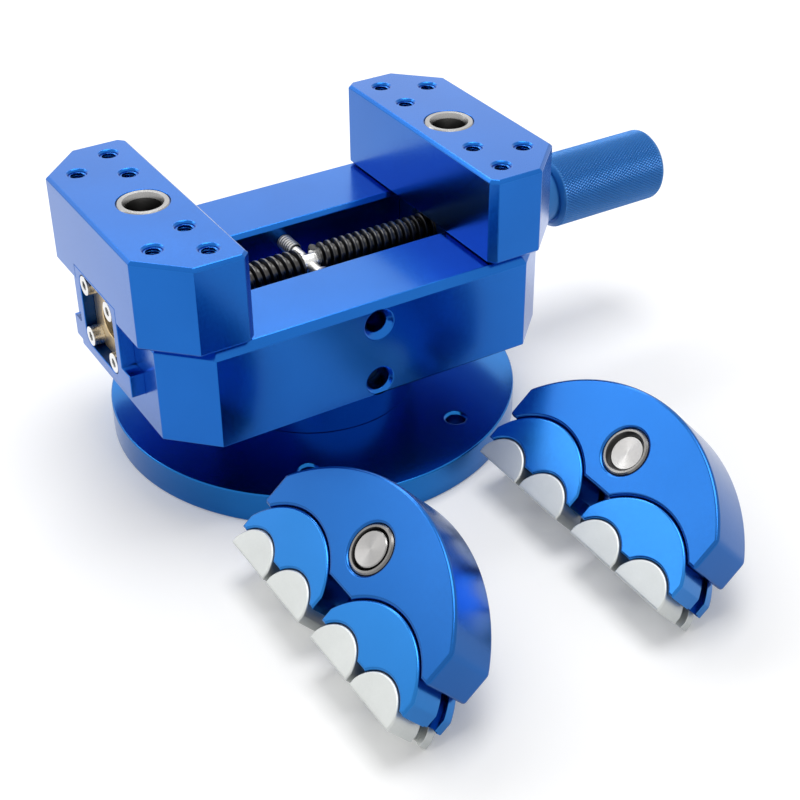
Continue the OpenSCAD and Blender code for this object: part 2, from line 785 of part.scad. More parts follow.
lay(side_x, side_y) fractal_body();  // side_body
lay(side_x, side_y) fractal_bush();  // side_bush
lay(side_x, side_y) fractal_pin(side_pin_sunk);  // side_pin
lay(side_x, side_y) at_rocker(1) rocker();  // side_rocker_near
lay(side_x, side_y) at_rocker(-1) rocker();  // side_rocker_far
lay(side_x, side_y) at_tip(1, 1) tip();  // side_tip_near_outer
lay(side_x, side_y) at_tip(1, -1) tip();  // side_tip_near_inner
lay(side_x, side_y) at_tip(-1, 1) tip();  // side_tip_far_inner
lay(side_x, side_y) at_tip(-1, -1) tip();  // side_tip_far_outer
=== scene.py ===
# %% [markdown]
# # A self-centring vise and its fractal jaws
# A small bench vise in blue anodised aluminium stands on a white table. Its two jaws close together on
# one screw with opposite threads. Two spare fractal jaws lie in front of it, each propped on its pin. The
# solids already exist as CAD blanks, and the pieces made here take their places and main sizes from them.
# This lesson gives them what a machinist and an anodiser would: broken edges, real threads, a knurled
# grip and the right finishes.

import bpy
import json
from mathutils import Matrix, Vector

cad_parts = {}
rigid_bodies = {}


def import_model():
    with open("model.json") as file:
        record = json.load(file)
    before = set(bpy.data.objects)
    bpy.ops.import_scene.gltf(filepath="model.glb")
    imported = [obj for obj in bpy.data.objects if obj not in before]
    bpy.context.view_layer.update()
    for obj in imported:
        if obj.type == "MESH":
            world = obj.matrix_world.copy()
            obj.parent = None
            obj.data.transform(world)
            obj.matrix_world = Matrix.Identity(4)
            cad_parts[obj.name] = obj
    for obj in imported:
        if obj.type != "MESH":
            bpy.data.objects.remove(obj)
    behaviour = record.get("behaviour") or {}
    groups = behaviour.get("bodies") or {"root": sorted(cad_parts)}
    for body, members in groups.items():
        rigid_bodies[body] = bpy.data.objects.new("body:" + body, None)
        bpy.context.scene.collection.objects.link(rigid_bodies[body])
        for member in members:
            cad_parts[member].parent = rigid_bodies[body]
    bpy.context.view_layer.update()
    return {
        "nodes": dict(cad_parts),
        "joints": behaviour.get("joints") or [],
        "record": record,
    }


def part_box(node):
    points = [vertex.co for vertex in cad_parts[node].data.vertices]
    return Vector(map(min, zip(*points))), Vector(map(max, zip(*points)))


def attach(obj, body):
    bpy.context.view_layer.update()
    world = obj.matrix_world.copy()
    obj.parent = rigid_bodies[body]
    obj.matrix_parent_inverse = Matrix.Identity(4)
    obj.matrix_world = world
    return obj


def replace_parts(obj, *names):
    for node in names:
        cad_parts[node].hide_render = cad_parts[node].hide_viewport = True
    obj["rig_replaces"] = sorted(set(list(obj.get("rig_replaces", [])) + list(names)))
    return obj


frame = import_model()

# %% [markdown]
# ## Units and names
# Blender works in metres and a workshop drawing in millimetres, so one factor turns one into the other.
# Every blank belongs to a moving body and to a finish in the record. Both could be written out for each
# piece, but looking them up by name keeps the scene in step with the CAD.

# %% Units and lookups
import json
from math import ceil, cos, floor, hypot, pi, radians, sin, tau

import bmesh
import bpy
from mathutils import Matrix, Quaternion, Vector

MM = 0.001
record = frame["record"]
blanks = frame["nodes"]
body_of = {node: body for body, nodes in record["behaviour"]["bodies"].items() for node in nodes}
slot_of = {part["node"]: part["material_slot"] for part in record["subparts"]}
joint_of = {joint["name"]: joint for joint in frame["joints"]}
scene = bpy.context.scene
print("bodies:", len(set(body_of.values())), "finishes:", len(set(slot_of.values())))

# %% [markdown]
# ## The camera
# The photograph was taken from the left front corner, looking down by about 34 degrees. The place and the
# lens were worked out from the vise's straight edges, so the picture lines up with the solids. A tracking
# constraint would keep the horizon level. So the rotation is set directly: the camera looks along a line,
# and a small roll turns it by the last half degree.

# %% Camera
CAMERA_PLACE = Vector((-224.3, -435.06, 333.18)) * MM
CAMERA_AIM = Vector((-106.94, -240.41, 178.15)) * MM
CAMERA_LENS = 70.08
CAMERA_SENSOR = 36
CAMERA_NEAR = 0.01
CAMERA_ROLL = -0.0082

camera = bpy.data.objects.new("camera", bpy.data.cameras.new("camera"))
camera.data.lens = CAMERA_LENS
camera.data.sensor_width = CAMERA_SENSOR
camera.data.clip_start = CAMERA_NEAR
camera.rotation_mode = "QUATERNION"
camera.location = CAMERA_PLACE
look = (CAMERA_AIM - CAMERA_PLACE).to_track_quat("-Z", "Y")
camera.rotation_quaternion = look @ Quaternion((0, 0, 1), CAMERA_ROLL)
scene.collection.objects.link(camera)
scene.camera = camera
print("camera at", tuple(camera.location), "lens", camera.data.lens)

# %% [markdown]
# ## The white room
# Metal looks like what it mirrors, so a product photograph is taken in a white room. A picture of a
# studio could be wrapped round the scene, but plain white is close to such a room and needs no file. The
# world is white where the camera or a reflection sees it. As a light it is dimmer, so that the lamps can
# shape the vise.

# %% World
WORLD_LIGHT = 0.5
WORLD_WHITE = 1.0
SEEN_RAYS = ("Is Camera Ray", "Is Glossy Ray", "Is Transmission Ray")


def seen_ray(tree):
    """One where the camera or a mirrored or refracted ray looks, and zero for light that is scattered."""
    path = tree.nodes.new("ShaderNodeLightPath")
    seen = path.outputs[SEEN_RAYS[0]]
    for kind in SEEN_RAYS[1:]:
        either = tree.nodes.new("ShaderNodeMath")
        either.operation = "MAXIMUM"
        tree.links.new(seen, either.inputs[0])
        tree.links.new(path.outputs[kind], either.inputs[1])
        seen = either.outputs[0]
    return seen


scene.view_settings.view_transform = "Standard"
scene.world = bpy.data.worlds.new("white_room")
scene.world.use_nodes = True
room = scene.world.node_tree
level = room.nodes.new("ShaderNodeMapRange")
level.inputs["To Min"].default_value = WORLD_LIGHT
level.inputs["To Max"].default_value = WORLD_WHITE
room.links.new(seen_ray(room), level.inputs["Value"])
room.nodes["Background"].inputs["Color"].default_value = (1, 1, 1, 1)
room.links.new(level.outputs["Result"], room.nodes["Background"].inputs["Strength"])
print("world light", WORLD_LIGHT)

# %% [markdown]
# ## The lamps
# A softbox above the vise lights the table and gives the soft shadows under the pieces. Rounded edges
# mirror it, and the narrow strip lamp behind it, as the bright lines that make metal look crisp. A wide
# panel behind brightens the flat top faces and the faces of the loose jaws, which mirror it. A small one
# on the left does the same once more for the jaw set that lies further back. Glowing planes would light
# the vise too, but a lamp is easier to aim and to set in watts.

# %% Lamps


def soft_panel(name, place, width, height, watts):
    """A rectangular lamp that faces the vise."""
    lamp = bpy.data.lights.new(name, "AREA")
    lamp.shape = "RECTANGLE"
    lamp.size = width
    lamp.size_y = height
    lamp.energy = watts
    panel = bpy.data.objects.new(name, lamp)
    panel.location = place
    panel.rotation_mode = "QUATERNION"
    panel.rotation_quaternion = (-Vector(place)).to_track_quat("-Z", "Y")
    scene.collection.objects.link(panel)
    print(name, watts, "W")


soft_panel("softbox_top", (0.2, 0.05, 1.5), 0.8, 0.8, 9.6)
soft_panel("strip_back", (0.0, 1.2, 1.3), 1.6, 0.22, 5)
soft_panel("panel_back", (-0.1, 1.35, 0.95), 3.0, 1.3, 5.2)
soft_panel("panel_left", (-0.72, 0.78, 0.94), 0.5, 0.5, 0.85)

# %% [markdown]
# ## The table
# The vise stands on a plain white table. A curved backdrop is another way to make one, but a single flat
# face is enough here. It catches the soft shadows, and it is so wide that its far edge is lost in the
# white room.

# %% Table top
FLOOR_HALF = 4.0

floor_mesh = bpy.data.meshes.new("floor")
corners = [(x * FLOOR_HALF, y * FLOOR_HALF, 0) for x, y in ((-1, -1), (1, -1), (1, 1), (-1, 1))]
floor_mesh.from_pydata(corners, [], [(0, 1, 2, 3)])
table_top = bpy.data.objects.new("floor", floor_mesh)
scene.collection.objects.link(table_top)
print("table", 2 * FLOOR_HALF, "m wide")

# %% [markdown]
# ## The table's paint
# The paint is lit like everything else, and for the camera and for reflections it also glows a little.
# That lifts it to the white of the photograph and keeps the shadows. More light from the lamps would
# whiten it too, but would bleach the vise. Far from the vise, where the lamps fade, the glow grows, so
# that low views have a white horizon.

# %% Table paint
FLOOR_PAINT = 0.93
FLOOR_ROUGH = 0.9
FLOOR_SHINE = 0.1
FLOOR_GLOW = 0.14
FAR_GLOW = 0.55
FADE_FROM = 0.7
FADE_TO = 2.2


def new_finish(name, **sockets):
    """A Principled material with constant sockets. An underscore in a name stands for a space."""
    finish = bpy.data.materials.new(name)
    finish.use_nodes = True
    shader = finish.node_tree.nodes["Principled BSDF"]
    for socket, value in sockets.items():
        shader.inputs[socket.replace("_", " ")].default_value = value
    return finish, finish.node_tree, shader


paint, tree, shader = new_finish(
    "table_white", Base_Color=(FLOOR_PAINT, FLOOR_PAINT, FLOOR_PAINT, 1), Roughness=FLOOR_ROUGH,
    Specular_IOR_Level=FLOOR_SHINE, Emission_Color=(1, 1, 1, 1))
spot = tree.nodes.new("ShaderNodeTexCoord")
distance = tree.nodes.new("ShaderNodeVectorMath")
distance.operation = "LENGTH"
tree.links.new(spot.outputs["Object"], distance.inputs[0])
fade = tree.nodes.new("ShaderNodeMapRange")
fade.interpolation_type = "SMOOTHSTEP"
fade.inputs["From Min"].default_value = FADE_FROM
fade.inputs["From Max"].default_value = FADE_TO
fade.inputs["To Min"].default_value = FLOOR_GLOW
fade.inputs["To Max"].default_value = FAR_GLOW
tree.links.new(distance.outputs["Value"], fade.inputs["Value"])
glow = tree.nodes.new("ShaderNodeMath")
glow.operation = "MULTIPLY"
tree.links.new(fade.outputs["Result"], glow.inputs[0])
tree.links.new(seen_ray(tree), glow.inputs[1])
tree.links.new(glow.outputs[0], shader.inputs["Emission Strength"])
floor_mesh.materials.append(paint)
print("table glow from", FLOOR_GLOW, "to", FAR_GLOW)

# %% [markdown]
# ## Textures for metal
# No metal is quite even: its colour drifts, its gloss is grainy and tools leave marks. Pictures of metal
# could be laid on each piece, but they need files and unwrapping. Noise and wave textures in object space
# need neither, and they hold from every side. Noise gives drift and grain, and rings are a turning tool's
# marks.

# %% Texture tools
NOISE_DETAIL = 4.0
RING_WOBBLE = 0.6
RING_DETAIL = 2.0


def grain(tree, scale, detail=NOISE_DETAIL):
    """Noise in object space, with a scale in waves per metre."""
    spot = tree.nodes.new("ShaderNodeTexCoord")
    noise = tree.nodes.new("ShaderNodeTexNoise")
    noise.inputs["Scale"].default_value = scale
    noise.inputs["Detail"].default_value = detail
    tree.links.new(spot.outputs["Object"], noise.inputs["Vector"])
    return noise.outputs["Fac"]


def rings(tree, scale):
    """Turning marks round the piece's own Z axis."""
    spot = tree.nodes.new("ShaderNodeTexCoord")
    wave = tree.nodes.new("ShaderNodeTexWave")
    wave.wave_type = "RINGS"
    wave.rings_direction = "Z"
    wave.inputs["Scale"].default_value = scale
    wave.inputs["Distortion"].default_value = RING_WOBBLE
    wave.inputs["Detail"].default_value = RING_DETAIL
    tree.links.new(spot.outputs["Object"], wave.inputs["Vector"])
    return wave.outputs["Fac"]


print("texture tools ready")

# %% [markdown]
# ## From texture to surface
# A texture is only a number at each point. A ramp between two colours makes it a tint, its middle range
# stretched between two values makes it a gloss, and a bump makes it relief. Marks finer than a hair stay
# bumps, because they would take millions of faces. All that shows as a shape is cut into the mesh later.

# %% Surface tools
GLOSS_RANGE = (0.3, 0.7)
TINT_RANGE = (0.35, 0.65)
MARK_DEPTH = 0.02 * MM


def spread(tree, value, low, high):
    """Maps the middle range of a texture to low and high."""
    node = tree.nodes.new("ShaderNodeMapRange")
    node.inputs["From Min"].default_value = GLOSS_RANGE[0]
    node.inputs["From Max"].default_value = GLOSS_RANGE[1]
    node.inputs["To Min"].default_value = low
    node.inputs["To Max"].default_value = high
    tree.links.new(value, node.inputs["Value"])
    return node.outputs["Result"]


def tint(tree, value, first, second):
    """A colour between two, picked by a texture."""
    ramp = tree.nodes.new("ShaderNodeValToRGB")
    for stop, position, colour in zip(ramp.color_ramp.elements, TINT_RANGE, (first, second)):
        stop.position = position
        stop.color = (*colour, 1)
    tree.links.new(value, ramp.inputs["Fac"])
    return ramp.outputs["Color"]


def relief(tree, shader, height, strength):
    """Bump from a height texture."""
    bump = tree.nodes.new("ShaderNodeBump")
    bump.inputs["Strength"].default_value = strength
    bump.inputs["Distance"].default_value = MARK_DEPTH
    tree.links.new(height, bump.inputs["Height"])
    tree.links.new(bump.outputs["Normal"], shader.inputs["Normal"])


print("surface tools ready")

# %% [markdown]
# ## Blue anodising
# Anodised aluminium is a dyed glassy skin over metal. The metal mirrors its surroundings in the colour of
# the dye, and the skin adds a thin white gloss. A blue plastic would lack the coloured reflections, so
# the base is a blue metal and the gloss is a clear coat. The vise's blocks and the loose jaws have a soft
# gloss that blurs what they mirror. The handle's knurl scatters much of its light, so it is half a mirror
# only. The pockets that were milled for the nuts are quite matt, and their blue is darker as painted shade
# for the deep recess.

# %% Blue finishes
SKIN_ROUGH = 0.15
BLUE_DRIFT = 22
BLUE_GRAIN = 900
BLUE_MARKS = 2600
MARK_DETAIL = 3.0


def anodised(name, dark, light, smooth, rough, skin, strength=0.06, mirror=1.0):
    """Dyed metal under a clear skin: colour drift, fine grain in the gloss and a trace of tool marks."""
    finish, tree, shader = new_finish(name, Metallic=mirror, Coat_Weight=skin, Coat_Roughness=SKIN_ROUGH)
    tree.links.new(tint(tree, grain(tree, BLUE_DRIFT), dark, light), shader.inputs["Base Color"])
    tree.links.new(spread(tree, grain(tree, BLUE_GRAIN), smooth, rough), shader.inputs["Roughness"])
    relief(tree, shader, grain(tree, BLUE_MARKS, MARK_DETAIL), strength)
    return finish


blue_anodised = anodised("blue_anodised", (0.002, 0.114, 0.46), (0.004, 0.129, 0.51), 0.2, 0.26, 0.3)
blue_turned = anodised("blue_turned", (0.002, 0.125, 0.41), (0.004, 0.14, 0.45), 0.18, 0.24, 0.25)
blue_satin = anodised("blue_satin", (0.005, 0.095, 0.35), (0.007, 0.105, 0.38), 0.2, 0.26, 0.25)
blue_rocker = anodised("blue_rocker", (0.01, 0.155, 0.47), (0.014, 0.17, 0.52), 0.2, 0.26, 0.3)
blue_knurled = anodised("blue_knurled", (0.01, 0.15, 0.45), (0.014, 0.165, 0.49), 0.36, 0.44, 0.2,
                        mirror=0.5)
# Darker blue: painted shade for the nut pockets. The higher roughness is their milled wall.
blue_milled = anodised("blue_milled", (0.002, 0.045, 0.2), (0.003, 0.055, 0.24), 0.4, 0.5, 0.3,
                       strength=0.2)
print("blue finishes made")

# %% [markdown]
# ## Bare metals
# The tips are silver and matt, the bushes ground steel, the pins turned steel, the small screws bright
# and the lead screw black. Brass nuts ride on the lead screw. With an even gloss they would all look
# cast. So turned pieces get rings in their relief, and their gloss stretches across those rings, which
# gives the fan of light on a turned end face.

# %% Metal finishes
OIL_ROUGH = 0.25
METAL_DRIFT = 60
METAL_GRAIN = 1500
METAL_MARKS = 3000
TURNING_MARKS = 450
TURNING_STRENGTH = 0.05
TURNING_STRETCH = 0.8
TURNING_WAY = 0.25


def metal(name, first, second, smooth, rough, strength=0.1, oil_and_painted_shade=0.0, turned=False):
    """A bare or oiled metal with drifting colour, and with turning marks where it is turned."""
    finish, tree, shader = new_finish(name, Metallic=1.0, Coat_Weight=oil_and_painted_shade, Coat_Roughness=OIL_ROUGH)
    tree.links.new(tint(tree, grain(tree, METAL_DRIFT), first, second), shader.inputs["Base Color"])
    tree.links.new(spread(tree, grain(tree, METAL_GRAIN), smooth, rough), shader.inputs["Roughness"])
    if turned:
        relief(tree, shader, rings(tree, TURNING_MARKS), TURNING_STRENGTH)
        around = tree.nodes.new("ShaderNodeTangent")
        around.direction_type = "RADIAL"
        around.axis = "Z"
        tree.links.new(around.outputs["Tangent"], shader.inputs["Tangent"])
        shader.inputs["Anisotropic"].default_value = TURNING_STRETCH
        shader.inputs["Anisotropic Rotation"].default_value = TURNING_WAY
    else:
        relief(tree, shader, grain(tree, METAL_MARKS, MARK_DETAIL), strength)
    return finish


silver_tips = metal("silver_tips", (0.55, 0.57, 0.56), (0.6, 0.62, 0.61), 0.46, 0.54, strength=0.15)
bush_steel = metal("bush_steel", (0.32, 0.315, 0.31), (0.39, 0.385, 0.38), 0.2, 0.3, turned=True)
ring_steel = metal("ring_steel", (0.16, 0.155, 0.15), (0.22, 0.215, 0.21), 0.2, 0.3, turned=True)
pin_steel = metal("pin_steel", (0.3, 0.295, 0.29), (0.34, 0.335, 0.33), 0.22, 0.26, turned=True)
bright_screws = metal("bright_screws", (0.74, 0.74, 0.73), (0.84, 0.84, 0.83), 0.2, 0.32)
stop_steel = metal("stop_steel", (0.62, 0.61, 0.59), (0.72, 0.71, 0.69), 0.36, 0.46)
black_screw = metal("black_screw", (0.025, 0.025, 0.025), (0.05, 0.048, 0.046), 0.28, 0.4, oil_and_painted_shade=0.7)
brass = metal("brass", (0.7, 0.53, 0.29), (0.8, 0.63, 0.37), 0.26, 0.38)
print("metal finishes made")

# %% [markdown]
# ## Taking a blank's place
# A finished piece takes over from its blank: it moves with the same body, carries the same finish and
# hides the blank, which stays in the file for the physics. The blank itself could be reshaped instead,
# but then it would no longer be what the physics uses. The record gives each blank a slot, and a table
# says which finish belongs to a slot.

# %% Fitting tools
CREASE = radians(40)
finish_of = {
    "blue_anodised": blue_anodised, "blue_turned": blue_turned, "blue_satin": blue_satin,
    "silver_tips": silver_tips, "bush_steel": bush_steel, "pin_steel": pin_steel,
    "bright_screws": bright_screws, "black_screw": black_screw, "brass": brass,
}


def new_piece(name, shape, place=None):
    """An object from a finished bmesh, at its place in the frame, smooth but crisp at real corners."""
    mesh = bpy.data.meshes.new(name)
    bmesh.ops.recalc_face_normals(shape, faces=shape.faces)
    shape.to_mesh(mesh)
    shape.free()
    mesh.shade_smooth()
    mesh.set_sharp_from_angle(angle=CREASE)
    piece = bpy.data.objects.new(name, mesh)
    scene.collection.objects.link(piece)
    if place is not None:
        piece.matrix_world = place
    return piece


def fit(piece, node, finish=None):
    """The piece takes a blank's place: its body, its slot and its finish."""
    piece.data.materials.clear()
    piece.data.materials.append(finish or finish_of[slot_of[node]])
    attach(piece, body_of[node])
    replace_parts(piece, node)
    return piece


print("finishes by slot:", sorted(finish_of))

# %% [markdown]
# ## Which edges to break
# A machinist never leaves a sharp edge: each one gets a small round that catches the light. A bevel
# modifier can pick edges by their angle alone, which would round inner corners as well. So the edges are
# picked here. An edge is a corner where it stands out and turns sharply. On a plate, it is part of an
# outline where it lies in one of the plate's two faces.

# %% Edge tests
SHARP = radians(28)
FACE_ROOM = 0.05 * MM


def is_corner(edge):
    """True for an outer edge that is sharp to the touch."""
    return len(edge.link_faces) == 2 and edge.is_convex and edge.calc_face_angle() > SHARP


def is_outline(edge, axis, ends):
    """True for an edge that lies in one of a plate's two faces, whose heights along the axis are given."""
    return all(min(abs(corner.co.dot(axis) - end) for end in ends) < FACE_ROOM for corner in edge.verts)


print("sharp above", round(SHARP, 3), "rad")

# %% [markdown]
# ## Rounding the edges
# A block takes one width all over. The plates of the loose jaws have a wide round along the outlines of
# their two faces, which would make the rounds of their thin ribs run into each other. So there each edge
# has a weight: the full width on the outlines and a fine one elsewhere. Only the bevel modifier knows
# such weights, so a plate goes through one on a trial object, which is removed again.

# %% Rounding tools
BLOCK_SEGMENTS = 2
PLATE_SEGMENTS = 3
ROUND_PROFILE = 0.5
RIB_EDGE = 0.1


def round_block(shape, edge_mm):
    """Rounds every outer edge by one width. Gives back how many there were."""
    edges = [edge for edge in shape.edges if is_corner(edge)]
    bmesh.ops.bevel(shape, geom=edges, offset=edge_mm * MM, offset_type="OFFSET", segments=BLOCK_SEGMENTS,
                    profile=ROUND_PROFILE, affect="EDGES", clamp_overlap=False)
    return len(edges)


def round_plate(shape, edge_mm, axis):
    """Rounds the outlines of a plate's two faces, and finely the other edges. Gives back how many."""
    weight = shape.edges.layers.float.new("bevel_weight_edge")
    heights = [corner.co.dot(axis) for corner in shape.verts]
    ends = min(heights), max(heights)
    edges = [edge for edge in shape.edges if is_corner(edge)]
    count = len(edges)
    for edge in edges:
        edge[weight] = 1.0 if is_outline(edge, axis, ends) else RIB_EDGE / edge_mm
    mesh = bpy.data.meshes.new("rounding")
    shape.to_mesh(mesh)
    trial = bpy.data.objects.new("rounding", mesh)
    scene.collection.objects.link(trial)
    bevel = trial.modifiers.new("rounds", "BEVEL")
    bevel.limit_method = "WEIGHT"
    bevel.width = edge_mm * MM
    bevel.segments = PLATE_SEGMENTS
    bevel.use_clamp_overlap = False
    shape.clear()
    shape.from_object(trial, bpy.context.evaluated_depsgraph_get())
    bpy.data.objects.remove(trial)
    bpy.data.meshes.remove(mesh)
    return count


print("rounding tools ready")

# %% [markdown]
# ## Deburring a blank
# A CAD mesh has doubled corners, and its flat faces are cut into triangles, which a bevel trips over. So
# the blank is copied, its corners are joined, its flat triangles are merged, and only then are its edges
# rounded. Normals weighted by the size of the faces then keep the large faces flat right up to their
# rounds.

# %% Deburring tool
WELD = 0.002 * MM
FLAT = radians(0.4)


def deburr(node, edge_mm, finish=None, axis=None):
    """A copy of a blank with its outer edges rounded, in the blank's place. A plate has an axis."""
    shape = bmesh.new()
    shape.from_mesh(blanks[node].data)
    bmesh.ops.remove_doubles(shape, verts=shape.verts, dist=WELD)
    bmesh.ops.recalc_face_normals(shape, faces=shape.faces)
    bmesh.ops.dissolve_limit(shape, angle_limit=FLAT, verts=shape.verts, edges=shape.edges)
    count = round_plate(shape, edge_mm, axis) if axis else round_block(shape, edge_mm)
    piece = fit(new_piece(node + "_finished", shape), node, finish)
    piece.modifiers.new("flat_faces", "WEIGHTED_NORMAL").keep_sharp = True
    print(node, count, "edges broken,", len(piece.data.vertices), "corners")
    return piece


print("deburring tool ready")

# %% [markdown]
# ## The vise's blocks and screws
# The base plate, the post, the bed, the jaws, the carriages and the nuts are milled or turned from solid,
# and the CAD has their shapes down to the last hole. They could be modelled again, but all they lack is a
# machinist's last touch. So each is deburred, by a width of its own in millimetres.

# %% Vise blocks and screws
EDGES = {
    "base_plate": 0.15, "pivot_post": 0.3, "post_screws": 0.1, "bed": 0.3,
    "swivel_lock_screw": 0.15, "handle_grub_screw": 0.1,
    "left_jaw": 0.25, "right_jaw": 0.25, "left_carriage": 0.3, "right_carriage": 0.3,
    "left_nut": 0.3, "right_nut": 0.3, "left_nut_screws": 0.15, "right_nut_screws": 0.15,
    "left_carriage_screws": 0.1, "right_carriage_screws": 0.1,
}
finished = {node: deburr(node, edge) for node, edge in EDGES.items()}

# %% [markdown]
# ## The nut pockets
# Each nut sits in a square pocket that is milled into its carriage. The cutter leaves a rougher wall than
# the smooth outside, and the recess lies in shade, so the pocket's faces get a finish of their own:
# rougher, and a darker blue that is painted shade. A lining of its own could carry it, but a second
# material on faces that are picked by where they lie leaves the carriage in one piece.

# %% Nut pockets
POCKET_ROOM = 1.5 * MM
OUTSIDE_ROOM = 0.5 * MM

for side in ("left", "right"):
    carriage = finished[side + "_carriage"].data
    # The second material's darker blue is painted shade for the recess.
    carriage.materials.append(blue_milled)
    low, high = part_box(side + "_nut")
    outside = max(abs(corner.x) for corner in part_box(side + "_carriage")) - OUTSIDE_ROOM
    count = 0
    for face in carriage.polygons:
        middle = face.center
        beside_nut = low.z - POCKET_ROOM < middle.z < high.z + POCKET_ROOM
        if beside_nut and abs(middle.y) < high.y + POCKET_ROOM and abs(middle.x) < outside:
            face.material_index = 1
            count += 1
    print(side, "pocket", count, "faces")

# %% [markdown]
# ## The fractal jaws
# A body carries two rockers and each rocker two silver tips, like the joints of fingers. All are plates
# of one thickness whose soft edges show as bright lines along the arcs. They could be drawn again from
# arcs, but the blanks have those arcs and the grooves between them already. The rockers are a little
# lighter than the bodies, so they have a finish of their own.

# %% Bodies, rockers and tips
PLATE_EDGE = {"body": 1.2, "rocker": 0.9, "tip": 0.7}
PLATE_FINISH = {"body": blue_satin, "rocker": blue_rocker, "tip": silver_tips}

for node in blanks:
    jaw, _, rest = node.partition("_")
    kind = rest.split("_")[0]
    if jaw in ("front", "side") and kind in PLATE_EDGE:
        axis = Vector(joint_of[jaw + "_pin_spin"]["axis"])
        deburr(node, PLATE_EDGE[kind], PLATE_FINISH[kind], axis)

# %% [markdown]
# ## Where turned pieces lie
# Bushes, pins and screws are round, and each lies along a line in the frame. They could be made upright
# and turned by hand, but a blank or a joint already gives the line. A place on it has its own Z axis
# along the piece, so the ring texture lies there as real turning marks do.

# %% Places and sizes


def axis_place(point, axis):
    """A place whose own Z axis runs along a line in the frame."""
    turn = Vector(axis).to_track_quat("Z", "Y")
    return Matrix.Translation(Vector(point)) @ turn.to_matrix().to_4x4()


def upright(node):
    """A line up the middle of a blank, from the height of the table."""
    low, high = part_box(node)
    return axis_place(((low.x + high.x) / 2, (low.y + high.y) / 2, 0), (0, 0, 1))


def pin_place(jaw):
    """The line that a loose jaw's pin turns about."""
    joint = joint_of[jaw + "_pin_spin"]
    return axis_place(joint["pos_m"], joint["axis"])


def measure(node, place):
    """A blank's least and greatest radius and height about a place's Z axis, in millimetres."""
    back = place.inverted()
    points = [back @ corner.co for corner in blanks[node].data.vertices]
    radii = [hypot(p.x, p.y) / MM for p in points]
    heights = [p.z / MM for p in points]
    return min(radii), max(radii), min(heights), max(heights)


print("front pin", [round(size, 2) for size in measure("front_pin", pin_place("front"))])

# %% [markdown]
# ## The lathe
# A lathe turns a half outline about an axis. Blender's Screw modifier does the same with a drawn outline.
# Code is handier here, because the outline comes from measured sizes, and because rings that shrink to a
# point on the axis close the ends without doubled corners.

# %% Lathe
LATHE_STEPS = 96


def ring_strip(shape, first, second):
    """Faces between two closed rings of corners, either of which may be one point."""
    count = max(len(first), len(second))
    for i in range(count):
        j = (i + 1) % count
        corners = [ring[k % len(ring)] for ring, k in ((first, i), (first, j), (second, j), (second, i))]
        shape.faces.new(list(dict.fromkeys(corners)))


def lathe(name, outline, place, closed=False, steps=LATHE_STEPS):
    """Turns (radius, height) points in millimetres about Z. Zero radius is a point on the axis."""
    shape = bmesh.new()
    rows = []
    for radius, height in outline:
        turn = [tau * i / steps for i in range(steps if radius else 1)]
        points = [(radius * cos(a) * MM, radius * sin(a) * MM, height * MM) for a in turn]
        rows.append([shape.verts.new(point) for point in points])
    for low, high in zip(rows, rows[1:]):
        ring_strip(shape, low, high)
    if closed:
        ring_strip(shape, rows[-1], rows[0])
    return new_piece(name, shape, place)


print("lathe ready")

# %% [markdown]
# ## The bushes
# A bush is a steel ring that is pressed into a jaw, so that a pin can turn in it without wearing the
# aluminium. Each has small chamfers and a countersunk mouth. The deep bore lies in shade, and that shade is
# painted: a second, black material on the faces near the axis. In the loose jaws the steel is darker, and
# the painted shade reaches further up the countersink.

# %% Bushes
BUSH_CHAMFER = 0.5
BUSH_MOUTH = 1.0
BUSH_MOUTH_DEPTH = 1.6
VISE_BUSH_SHADE = 0.1
LOOSE_BUSH_SHADE = 0.75


def paint_shade_inside(piece, radius):
    """Makes the faces within a radius in millimetres of the piece's axis black, as painted shade."""
    piece.data.materials.append(black_screw)
    for face in piece.data.polygons:
        inside = hypot(face.center.x, face.center.y) < radius * MM
        face.material_index = 1 if inside else 0


def turn_bush(node, place, finish, oil_and_painted_shade):
    """A ring with a countersunk bore. The bore and a share of the countersink get black painted shade."""
    bore, wall, low, high = measure(node, place)
    edge = BUSH_CHAMFER
    outline = [(bore, low + edge), (bore + edge, low), (wall - edge, low), (wall, low + edge),
               (wall, high - edge), (wall - edge, high),
               (bore + BUSH_MOUTH, high), (bore, high - BUSH_MOUTH_DEPTH)]
    bush = fit(lathe(node + "_turned", outline, place, closed=True), node, finish)
    # Painted shade: the bore and a share of the mouth are black.
    paint_shade_inside(bush, bore + oil_and_painted_shade * BUSH_MOUTH)
    print(node, "bore", round(2 * bore, 2), "outside", round(2 * wall, 2))


for jaw in ("left", "right"):
    turn_bush(jaw + "_bush", upright(jaw + "_bush"), bush_steel, VISE_BUSH_SHADE)
for jaw in ("front", "side"):
    turn_bush(jaw + "_bush", pin_place(jaw), ring_steel, LOOSE_BUSH_SHADE)

# %% [markdown]
# ## The pins
# A fractal jaw turns on a plain steel dowel, and one end of it shows in the bush. A cylinder would do for
# its body. The end is what catches the eye, so the lathe gives it a fine chamfer and the shallow dish
# that facing leaves, and the turned finish draws its fan of light there.

# %% Pins
PIN_CHAMFER = 0.8
PIN_FACE_CHAMFER = 0.3
PIN_DISH = 0.2


def turn_pin(jaw):
    """A plain dowel with a chamfer at each end and a shallow dish in the end that shows."""
    node = jaw + "_pin"
    place = pin_place(jaw)
    radius, low, high = measure(node, place)[1:]
    foot, face = PIN_CHAMFER, PIN_FACE_CHAMFER
    outline = [(0, low), (radius - foot, low), (radius, low + foot), (radius, high - face),
               (radius - face, high), (0, high - PIN_DISH)]
    fit(lathe(node + "_turned", outline, place), node)
    print(node, "diameter", round(2 * radius, 2), "length", round(high - low, 2))


for jaw in ("front", "side"):
    turn_pin(jaw)

